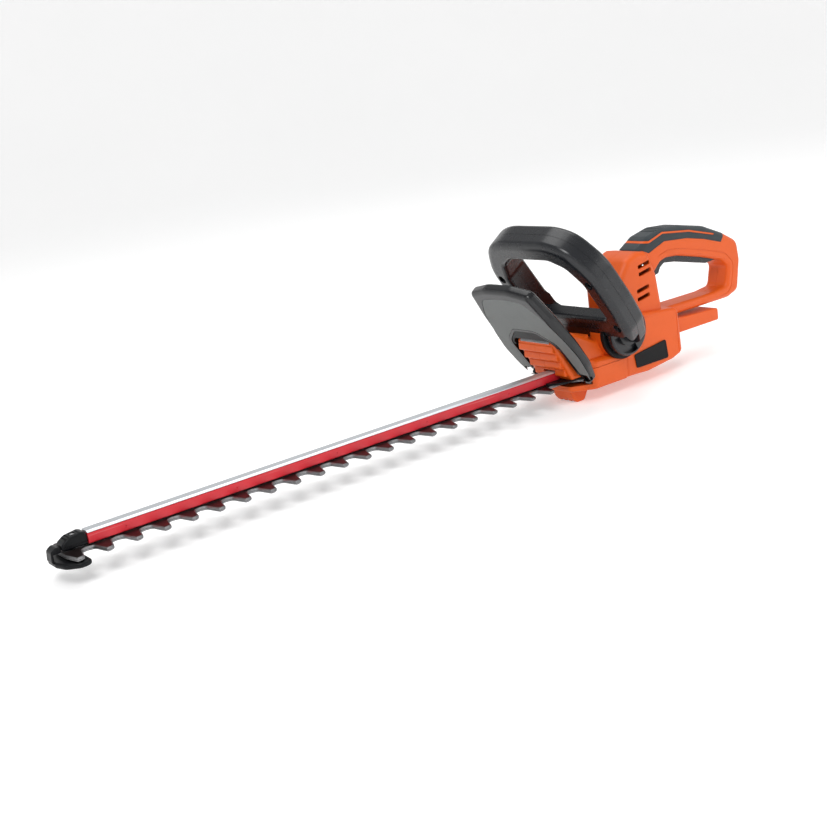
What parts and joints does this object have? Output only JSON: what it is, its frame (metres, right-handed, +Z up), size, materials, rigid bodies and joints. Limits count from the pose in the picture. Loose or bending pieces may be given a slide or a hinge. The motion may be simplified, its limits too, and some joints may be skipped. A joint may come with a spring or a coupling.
{
  "type": "hedge trimmer",
  "caption": "Battery hedge trimmer, bare tool: double-sided reciprocating blades on a rail, looped front handle, hand shield, D-shaped rear handle with trigger, battery slide.",
  "frame": {"origin": "middle of the foot's flat sole, under the front of the gear case", "axes": "+X along the tool from the blade tip to the rear handle, +Y across it to its right-hand side, +Z up"},
  "size_m": [0.8761, 0.16, 0.1967],
  "materials": {
    "housing_orange": "satin moulded plastic, fine texture",
    "handle_plastic": "satin glass-filled plastic",
    "black_plastic": "satin moulded plastic",
    "shield_plastic": "matt textured panel with a smooth dark rim",
    "grip_rubber": "soft matt overmould with fine ribs",
    "rail_red": "red powder coat",
    "cap_alloy": "bright extruded",
    "blade_steel": "dark oiled faces with ground edges",
    "bright_steel": "zinc plated",
    "bronze": "sintered",
    "copper_winding": "varnished",
    "magnet_grey": "sintered ferrite",
    "board_green": "solder mask"
  },
  "bodies": {
    "housing": {"left_housing": "housing_orange", "right_housing": "housing_orange", "gear_case_base": "housing_orange", "battery_slide": "housing_orange", "front_handle_front": "handle_plastic", "front_handle_rear": "handle_plastic", "label_plate_left": "handle_plastic", "label_plate_right": "handle_plastic", "handle_collar_left": "black_plastic", "handle_collar_right": "black_plastic", "tip_guard_cap": "black_plastic", "tip_guard_skid": "black_plastic", "blade_root_plate": "black_plastic", "motor_end_cap": "black_plastic", "power_switch": "black_plastic", "terminal_block": "black_plastic", "hand_shield": "shield_plastic", "rubber_grip": "grip_rubber", "guide_rail": "rail_red", "rail_cap": "cap_alloy", "gearbox_plate": "cap_alloy", "nose_strip": "cap_alloy", "blade_bolt_1": "bright_steel", "blade_bolt_2": "bright_steel", "blade_bolt_3": "bright_steel", "blade_bolt_4": "bright_steel", "blade_bolt_5": "bright_steel", "tip_screw": "bright_steel", "housing_screw_1": "bright_steel", "housing_screw_2": "bright_steel", "housing_screw_3": "bright_steel", "housing_screw_4": "bright_steel", "housing_screw_5": "bright_steel", "handle_screw_1": "bright_steel", "handle_screw_2": "bright_steel", "handle_screw_3": "bright_steel", "handle_screw_4": "bright_steel", "gearbox_screw_1": "bright_steel", "gearbox_screw_2": "bright_steel", "motor_can": "bright_steel", "trigger_pin": "bright_steel", "trigger_spring": "bright_steel", "shaft_bush_lower": "bronze", "shaft_bush_upper": "bronze", "motor_bush_lower": "bronze", "motor_bush_upper": "bronze", "terminal_blade_1": "bronze", "terminal_blade_2": "bronze", "motor_magnet_1": "magnet_grey", "motor_magnet_2": "magnet_grey", "control_board": "board_green"},
    "upper_blade": {"upper_blade": "blade_steel"},
    "lower_blade": {"lower_blade": "blade_steel"},
    "drive_train": {"drive_gear": "bright_steel", "eccentric_shaft": "bright_steel"},
    "motor_rotor": {"armature": "copper_winding", "motor_shaft": "bright_steel", "motor_pinion": "bright_steel", "cooling_fan": "black_plastic"},
    "trigger": {"trigger": "handle_plastic"}
  },
  "joints": [
    {"name": "upper_blade_stroke", "type": "slide", "parent": "housing", "child": "upper_blade", "axis": [1, 0, 0], "range_m": [-0.007, 0.007]},
    {"name": "lower_blade_stroke", "type": "slide", "parent": "housing", "child": "lower_blade", "axis": [1, 0, 0], "range_m": [-0.007, 0.007]},
    {"name": "drive_gear_turn", "type": "hinge", "parent": "housing", "child": "drive_train", "pos_m": [0.048, 0, 0.025], "axis": [0, 0, 1], "continuous": true},
    {"name": "motor_turn", "type": "hinge", "parent": "housing", "child": "motor_rotor", "pos_m": [0.0805, 0, 0.065], "axis": [0, 0, 1], "continuous": true},
    {"name": "trigger_pull", "type": "hinge", "parent": "housing", "child": "trigger", "pos_m": [0.151, 0, 0.1326], "axis": [0, -1, 0], "range_deg": [0, 3.5], "stiffness_Nm_per_rad": 3, "springref_deg": -2.86}
  ],
  "couplings": [
    {"joint": "lower_blade_stroke", "follows": "upper_blade_stroke", "ratio": -1},
    {"joint": "motor_turn", "follows": "drive_gear_turn", "ratio": -6}
  ]
}
